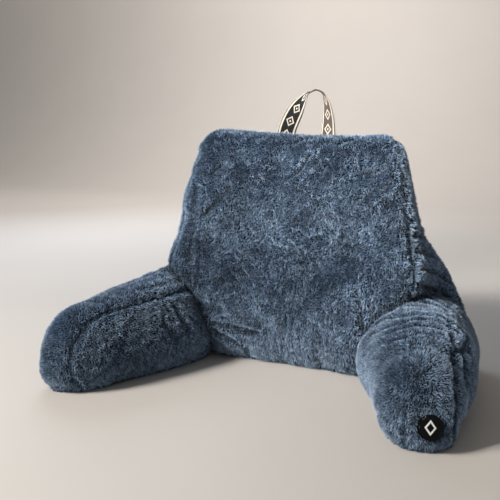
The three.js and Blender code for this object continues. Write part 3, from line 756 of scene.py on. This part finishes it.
# The badge's size, and its middle and the way it faces, from its CAD node. The arm's skin
# comes up to meet it, and no pile grows beneath it.
BADGE_RADIUS = 19 * MM
BADGE_THICKNESS = 2.2 * MM
BADGE_DROP = 3 * MM         # it hangs a little down its seat
BADGE_SUNK = 4.3 * MM       # it is pressed this far into the pile
BADGE_LAP = 0.5 * MM        # the pile starts this far under its rim
BADGE_BED_EDGE = 4 * MM     # the skin begins to rise this far outside its rim
BADGE_BED_SLOPE = 5 * MM    # and is up after this
BADGE_BED_BACK = 30 * MM    # no point further behind the badge belongs to its bed
RIM_PILE = (BADGE_RADIUS / MM, 4, 1.7)    # round the rim the pile leans in, an effect in millimetres
badge_points = read_vectors(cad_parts["round_patch"].data, "co")
badge_middle = (badge_points.min(axis=0) + badge_points.max(axis=0)) / 2
badge_facing = np.linalg.svd(badge_points - badge_points.mean(axis=0), full_matrices=False)[2][2]
badge_facing = badge_facing * (-1 if badge_facing[1] > 0 else 1)
badge_middle = badge_middle - BADGE_DROP * (np.array([0, 0, 1]) - badge_facing * badge_facing[2])


def far_from_badge(points):
    """Distance of each point from the badge's axis, or a metre where it is far behind."""
    offset = points - badge_middle
    depth = offset @ badge_facing
    distance = np.linalg.norm(offset - depth[:, None] * badge_facing, axis=1)
    return np.where(depth > -BADGE_BED_BACK, distance, 1.0)


for skin, sewn, node, seams, creases, seed in [
        (arm_left_skin, arm_left_sewn, "arm_left", ARM_LEFT_SEAMS, ARM_LEFT_CREASES, 5),
        (arm_right_skin, arm_right_sewn, "arm_right", ARM_RIGHT_SEAMS, ARM_RIGHT_CREASES, 6)]:
    from_badge = far_from_badge(read_vectors(skin.data, "co"))
    rise = np.clip((BADGE_RADIUS + BADGE_BED_EDGE - from_badge) / BADGE_BED_SLOPE, 0, 1)
    bed_rise = ARM_PILE_LENGTH - TIPS_PAST - BADGE_SUNK - BADGE_THICKNESS
    let_in(skin, ARM_PILE_LENGTH, sewn, rise * bed_rise)
    blow_up(skin, (sewn > 0) | (rise > 0) | (read_vectors(skin.data, "co")[:, 2] < FLOOR_BAND))
    nap, trim, light = work_lines(skin, sewn, seams, creases)
    inward = badge_middle - read_vectors(skin.data, "co")
    inward /= np.linalg.norm(inward, axis=1, keepdims=True)
    nap += inward * beside(from_badge, RIM_PILE)[:, None]
    grows = (sewn <= SEWN_SHUT) & (from_badge >= BADGE_RADIUS - BADGE_LAP)
    grow_pile(node + "_pile", skin, grows, (nap, trim, light), seed,
              ARM_PILE_LENGTH, ARM_GIRTH, ARM_LOCKS_PER_M2, ARM_CURL, seams)
    skin.data.materials.clear()
    skin.data.materials.append(plush_ground)
    skin.data.shade_smooth()
    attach(skin, "root")
    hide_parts(node)


# ------------------------------------------------------------------ the carry handle
# A strap of jacquard webbing, black with pale edge stripes and a row of small lozenges,
# half turned and sewn into the top seam. Its reverse shows the pale threads' floats.

WEBBING_WIDTH = 38 * MM
WEBBING_THICKNESS = 1.7 * MM
WEBBING_ACROSS = 16         # faces across each side of the strap
WEBBING_SQUARE = 8          # how square its edges are: 2 is round
HANDLE_STEPS = 10           # rings of points for each row of the table
# x, y, z of the middle line in millimetres, and degrees from the width to the X axis
HANDLE_ROWS = [
    (-41.3, 155.7, 440, 6), (-36.3, 155.7, 466, 4), (-20.3, 154.7, 498, -8), (2.7, 153.7, 528, -46),
    (14.0, 153.7, 536, -61), (26.0, 153.7, 539, -66), (37.0, 153.7, 534, -64), (43.0, 153.7, 524, -56),
    (47.5, 154.2, 508, -45), (49.7, 155.2, 481, -31), (49.2, 155.7, 456, -20), (48.7, 155.7, 440, -17),
]

# The pattern, from the middle of the strap and in its widths: a stripe and a pale selvedge
# on each side, as where each starts and ends and how soft it is, and lozenges up the middle.
STRIPE = (0.335, 0.435, 0.008)
SELVEDGE = (0.47, 0.6, 0.006)
LOZENGE_PITCH = 0.74
LOZENGE_HALF_WIDTH = 0.25
LOZENGE_HALF_LENGTH = 0.40  # in pitches
LOZENGE_LINE = (0.62, 1.0, 0.05)    # from 0 in a lozenge's middle to 1 on its edge
LOZENGE_HEART = (-1.0, 0.26, 0.05)
WEFT_PER_WIDTH = 30         # a weft thread every 1.3 mm

# Threads of the webbing: name, darker and lighter colour.
THREADS = [
    ("black", "#050607", "#17191c"),
    ("mixed", "#38322f", "#665d57"),
    ("ecru", "#beb8ad", "#dfdad1"),
]


def from_middle_of(tree, value):
    """How far a value is from the middle of its unit: 0 there and 0.5 at both ends."""
    part = add_node(tree, "ShaderNodeMath", {0: value}, operation="FRACT")
    offset = add_node(tree, "ShaderNodeMath", {0: part, 1: 0.5}, operation="SUBTRACT")
    return add_node(tree, "ShaderNodeMath", {0: offset}, operation="ABSOLUTE")


def in_lozenge(tree, across, along, half_width, half_length):
    """0 in a lozenge's middle and 1 on its edge, from the distances along its axes."""
    shares = [add_node(tree, "ShaderNodeMath", {0: distance, 1: half}, operation="DIVIDE")
              for distance, half in ((across, half_width), (along, half_length))]
    return add_node(tree, "ShaderNodeMath", {0: shares[0], 1: shares[1]}, operation="ADD")


def band(tree, value, low, high, soft):
    """1 where a value lies between low and high, with soft edges."""
    sides = []
    for upper, lower in ((value, low), (high, value)):
        gap = add_node(tree, "ShaderNodeMath", {0: upper, 1: lower}, operation="SUBTRACT")
        sides.append(add_node(tree, "ShaderNodeMath", {0: gap, 1: soft}, operation="DIVIDE", use_clamp=True))
    return add_node(tree, "ShaderNodeMath", {0: sides[0], 1: sides[1]}, operation="MULTIPLY")


# Polyester jacquard, woven on a needle loom: matt, ribbed across by the weft, with the
# stripes and the lozenges in ecru thread. The reverse is a mix of both threads.
webbing_weave, tree = new_material("woven_polyester_webbing")
strap_map = add_node(tree, "ShaderNodeUVMap", uv_map="strap")
on_strap = add_node(tree, "ShaderNodeSeparateXYZ", {"Vector": strap_map.outputs["UV"]})
reverse = add_node(tree, "ShaderNodeMath", {0: on_strap.outputs["X"], 1: 1.0}, operation="GREATER_THAN")
from_middle = from_middle_of(tree, on_strap.outputs["X"])
stripes = add_node(tree, "ShaderNodeMath", {
    0: band(tree, from_middle, *STRIPE), 1: band(tree, from_middle, *SELVEDGE)}, operation="ADD")
pitches = add_node(tree, "ShaderNodeMath", {
    0: on_strap.outputs["Y"], 1: LOZENGE_PITCH}, operation="DIVIDE")
lozenge_place = in_lozenge(tree, from_middle, from_middle_of(tree, pitches),
                           LOZENGE_HALF_WIDTH, LOZENGE_HALF_LENGTH)
lozenges = add_node(tree, "ShaderNodeMath", {
    0: band(tree, lozenge_place, *LOZENGE_LINE), 1: band(tree, lozenge_place, *LOZENGE_HEART),
}, operation="ADD")
pale = add_node(tree, "ShaderNodeMath", {0: stripes, 1: lozenges}, operation="ADD", use_clamp=True)
strap_place = add_node(tree, "ShaderNodeTexCoord")
strap_fuzz = add_node(tree, "ShaderNodeTexNoise", {        # about 1 mm across
    "Vector": strap_place.outputs["Object"], "Scale": 900.0, "Detail": 2.0})
thread = {}
for name, darker, lighter in THREADS:
    mixed = add_node(tree, "ShaderNodeMix", {
        "Factor": strap_fuzz.outputs["Fac"], "A": linear(darker), "B": linear(lighter),
    }, data_type="RGBA")
    thread[name] = mixed.outputs["Result"]
strap_ground = add_node(tree, "ShaderNodeMix", {
    "Factor": reverse, "A": thread["black"], "B": thread["mixed"]}, data_type="RGBA")
woven = add_node(tree, "ShaderNodeMix", {
    "Factor": pale, "A": strap_ground.outputs["Result"], "B": thread["ecru"]}, data_type="RGBA")
ribs = []
for axis in ("Y", "X"):
    turns = add_node(tree, "ShaderNodeMath", {
        0: on_strap.outputs[axis], 1: WEFT_PER_WIDTH * 2 * math.pi}, operation="MULTIPLY")
    ribs.append(add_node(tree, "ShaderNodeMath", {0: turns}, operation="SINE"))
crossings = add_node(tree, "ShaderNodeMath", {0: ribs[0], 1: ribs[1]}, operation="MULTIPLY")
raised_thread = add_node(tree, "ShaderNodeMath", {0: pale, 1: 0.8}, operation="MULTIPLY")
weave = add_node(tree, "ShaderNodeMath", {0: crossings, 1: raised_thread}, operation="ADD")
weave_relief = add_node(tree, "ShaderNodeBump", {
    "Height": weave, "Strength": 0.5, "Distance": 0.25 * MM})
give_finish(tree, {"Base Color": woven.outputs["Result"], "Normal": weave_relief, "Roughness": 0.75,
                   "Specular IOR Level": 0.3, "Sheen Weight": 0.05})

strap_rows = smooth_line(HANDLE_ROWS, finer=HANDLE_STEPS)
strap_line = strap_rows[:, :3] * MM
strap_turn = np.radians(strap_rows[:, 3])
strap_along = np.gradient(strap_line, axis=0)
strap_along /= np.linalg.norm(strap_along, axis=1, keepdims=True)
strap_width = np.stack([np.cos(strap_turn), np.sin(strap_turn), np.zeros(len(strap_turn))], axis=1)
strap_width -= strap_along * np.sum(strap_width * strap_along, axis=1, keepdims=True)
strap_width /= np.linalg.norm(strap_width, axis=1, keepdims=True)
strap_up = np.cross(strap_along, strap_width)
strap_reach = np.concatenate([[0], np.cumsum(np.linalg.norm(np.diff(strap_line, axis=0), axis=1))])

# One section of the strap, round both its sides: across, through it, and across its map,
# which runs on from the face, 0 to 1, to the reverse, 1 to 2.
section_across = np.linspace(-1, 1, WEBBING_ACROSS + 1)
section_half = np.sqrt(np.clip(1 - section_across ** WEBBING_SQUARE, 0, 1)) * 0.5
section = [(w, -t, (w + 1) / 2) for w, t in zip(section_across, section_half)]
section += [(w, t, 2 - (w + 1) / 2) for w, t in list(zip(section_across, section_half))[-2:0:-1]]
around = len(section)
strap_points = [strap_line[i] + strap_width[i] * w * WEBBING_WIDTH / 2
                + strap_up[i] * t * WEBBING_THICKNESS
                for i in range(len(strap_line)) for w, t, _ in section]
strap_faces, strap_corners = [], []
for i in range(len(strap_line) - 1):
    for j in range(around):
        k = (j + 1) % around
        strap_faces.append((i * around + j, i * around + k, (i + 1) * around + k, (i + 1) * around + j))
        u = (section[j][2], section[k][2] if k else 2.0)
        v = (strap_reach[i] / WEBBING_WIDTH, strap_reach[i + 1] / WEBBING_WIDTH)
        strap_corners += [(u[0], v[0]), (u[1], v[0]), (u[1], v[1]), (u[0], v[1])]
last_ring = (len(strap_line) - 1) * around
strap_faces += [tuple(range(around))[::-1], tuple(last_ring + j for j in range(around))]
strap_corners += [(0.5, 0.0)] * (2 * around)
strap_mesh = bpy.data.meshes.new("carry_handle_strap")
strap_mesh.from_pydata([tuple(point) for point in strap_points], [], strap_faces)
strap_chart = strap_mesh.uv_layers.new(name="strap")
strap_chart.data.foreach_set("uv", np.array(strap_corners, dtype=np.float32).ravel())
strap_mesh.shade_smooth()
strap_mesh.materials.append(webbing_weave)
strap = bpy.data.objects.new("carry_handle_strap", strap_mesh)
scene.collection.objects.link(strap)
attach(strap, "root")
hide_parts("carry_handle")


# ------------------------------------------------------------------ the round badge
# A small woven badge, black, with an overlocked rim and a plain lozenge worked in white
# thread, sewn down through the pile on the right arm's tip.

BADGE_BEND = 130 * MM       # it follows the tip's rounding
BADGE_RINGS = 36
BADGE_SIDES = 72
RIM_STITCHES = 36
RIM_MIDDLE = 18 * MM
RIM_HALF_WIDTH = 1.5 * MM
RIM_HEIGHT = 0.9 * MM
EMBLEM_HALF_WIDTH = 8.6 * MM
EMBLEM_HALF_HEIGHT = 11.6 * MM
EMBLEM_LINE = (0.6, 1.0)    # the white line, from 0 in the lozenge's middle to 1 on its edge
EMBLEM_SLOPE = 0.06         # over which its thread rises
EMBLEM_HEIGHT = 0.45 * MM
TWILL_TURNS = 420.0         # radians over the badge's width: a line of the twill every 0.6 mm

# Polyester twill with satin-stitched thread: matt black ground, glossier thread.
badge_twill, tree = new_material("embroidered_twill")
badge_map = add_node(tree, "ShaderNodeUVMap", uv_map="badge")
on_badge = add_node(tree, "ShaderNodeSeparateXYZ", {"Vector": badge_map.outputs["UV"]})
right_of, above_of = [add_node(tree, "ShaderNodeMath", {
    0: on_badge.outputs[axis], 1: 0.5}, operation="SUBTRACT") for axis in ("X", "Y")]
aside, apart = [add_node(tree, "ShaderNodeMath", {0: offset}, operation="ABSOLUTE")
                for offset in (right_of, above_of)]
emblem_place = in_lozenge(tree, aside, apart, EMBLEM_HALF_WIDTH / (2 * BADGE_RADIUS),
                          EMBLEM_HALF_HEIGHT / (2 * BADGE_RADIUS))
emblem = band(tree, emblem_place, *EMBLEM_LINE, 0.03)
slanted = add_node(tree, "ShaderNodeMath", {0: right_of, 1: above_of}, operation="ADD")
twill_turns = add_node(tree, "ShaderNodeMath", {0: slanted, 1: TWILL_TURNS}, operation="MULTIPLY")
twill = add_node(tree, "ShaderNodeMath", {0: twill_turns}, operation="SINE")
badge_place = add_node(tree, "ShaderNodeTexCoord")
badge_fuzz = add_node(tree, "ShaderNodeTexNoise", {        # about 1.5 mm across
    "Vector": badge_place.outputs["Object"], "Scale": 700.0, "Detail": 2.0})
black_twill = add_node(tree, "ShaderNodeMix", {
    "Factor": badge_fuzz.outputs["Fac"], "A": linear("#030304"), "B": linear("#0e0f11"),
}, data_type="RGBA")
white_thread = add_node(tree, "ShaderNodeMix", {
    "Factor": badge_fuzz.outputs["Fac"], "A": linear("#d9dbdf"), "B": linear("#f6f7f9"),
}, data_type="RGBA")
embroidered = add_node(tree, "ShaderNodeMix", {
    "Factor": emblem, "A": black_twill.outputs["Result"], "B": white_thread.outputs["Result"],
}, data_type="RGBA")
twill_relief = add_node(tree, "ShaderNodeBump", {"Height": twill, "Strength": 0.35, "Distance": 0.2 * MM})
give_finish(tree, {"Base Color": embroidered.outputs["Result"], "Normal": twill_relief,
                   "Roughness": 0.7, "Specular IOR Level": 0.12})

facing = Vector(badge_facing)
badge_right = Vector((0, 0, 1)).cross(facing).normalized()
badge_up = facing.cross(badge_right)
badge_seat = Vector(badge_middle) - facing * BADGE_SUNK
rings = np.linspace(0, 1, BADGE_RINGS + 1)[1:] * BADGE_RADIUS
turns = np.arange(BADGE_SIDES) * 2 * math.pi / BADGE_SIDES


def badge_height(r, turn):
    """Height of the badge's face: domed, with a stitched rim and the raised lozenge."""
    dome = -r ** 2 / (2 * BADGE_BEND)
    rim = np.sqrt(np.clip(1 - ((r - RIM_MIDDLE) / RIM_HALF_WIDTH) ** 2, 0, 1))
    stitch = 0.75 + 0.25 * np.cos(RIM_STITCHES * turn)
    place = abs(r * np.cos(turn)) / EMBLEM_HALF_WIDTH + abs(r * np.sin(turn)) / EMBLEM_HALF_HEIGHT
    thread_rise = np.clip(min(place - EMBLEM_LINE[0], EMBLEM_LINE[1] - place) / EMBLEM_SLOPE, 0, 1)
    return dome + RIM_HEIGHT * rim * stitch + EMBLEM_HEIGHT * thread_rise


flat_points = [(0.0, 0.0, badge_height(0.0, 0.0))]
flat_points += [(r * math.cos(t), r * math.sin(t), badge_height(r, t)) for r in rings for t in turns]
flat_points += [(r * math.cos(t), r * math.sin(t), -r ** 2 / (2 * BADGE_BEND) - BADGE_THICKNESS)
                for r in rings[::-1] for t in turns]
flat_points += [(0.0, 0.0, -BADGE_THICKNESS)]
badge_faces = [(0, 1 + j, 1 + (j + 1) % BADGE_SIDES) for j in range(BADGE_SIDES)]
for i in range(2 * BADGE_RINGS - 1):
    for j in range(BADGE_SIDES):
        k = (j + 1) % BADGE_SIDES
        near, far = 1 + i * BADGE_SIDES, 1 + (i + 1) * BADGE_SIDES
        badge_faces.append((near + j, far + j, far + k, near + k))
last = 1 + (2 * BADGE_RINGS - 1) * BADGE_SIDES
badge_faces += [(last + j, len(flat_points) - 1, last + (j + 1) % BADGE_SIDES) for j in range(BADGE_SIDES)]
badge_mesh = bpy.data.meshes.new("badge_disc")
badge_mesh.from_pydata([tuple(badge_seat + badge_right * x + badge_up * y + facing * z)
                        for x, y, z in flat_points], [], badge_faces)
badge_chart = badge_mesh.uv_layers.new(name="badge")
for loop in badge_mesh.loops:
    x, y, _ = flat_points[loop.vertex_index]
    badge_chart.data[loop.index].uv = (x / (2 * BADGE_RADIUS) + 0.5, y / (2 * BADGE_RADIUS) + 0.5)
badge_mesh.shade_smooth()
badge_mesh.materials.append(badge_twill)
badge = bpy.data.objects.new("badge_disc", badge_mesh)
scene.collection.objects.link(badge)
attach(badge, "root")
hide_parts("round_patch")
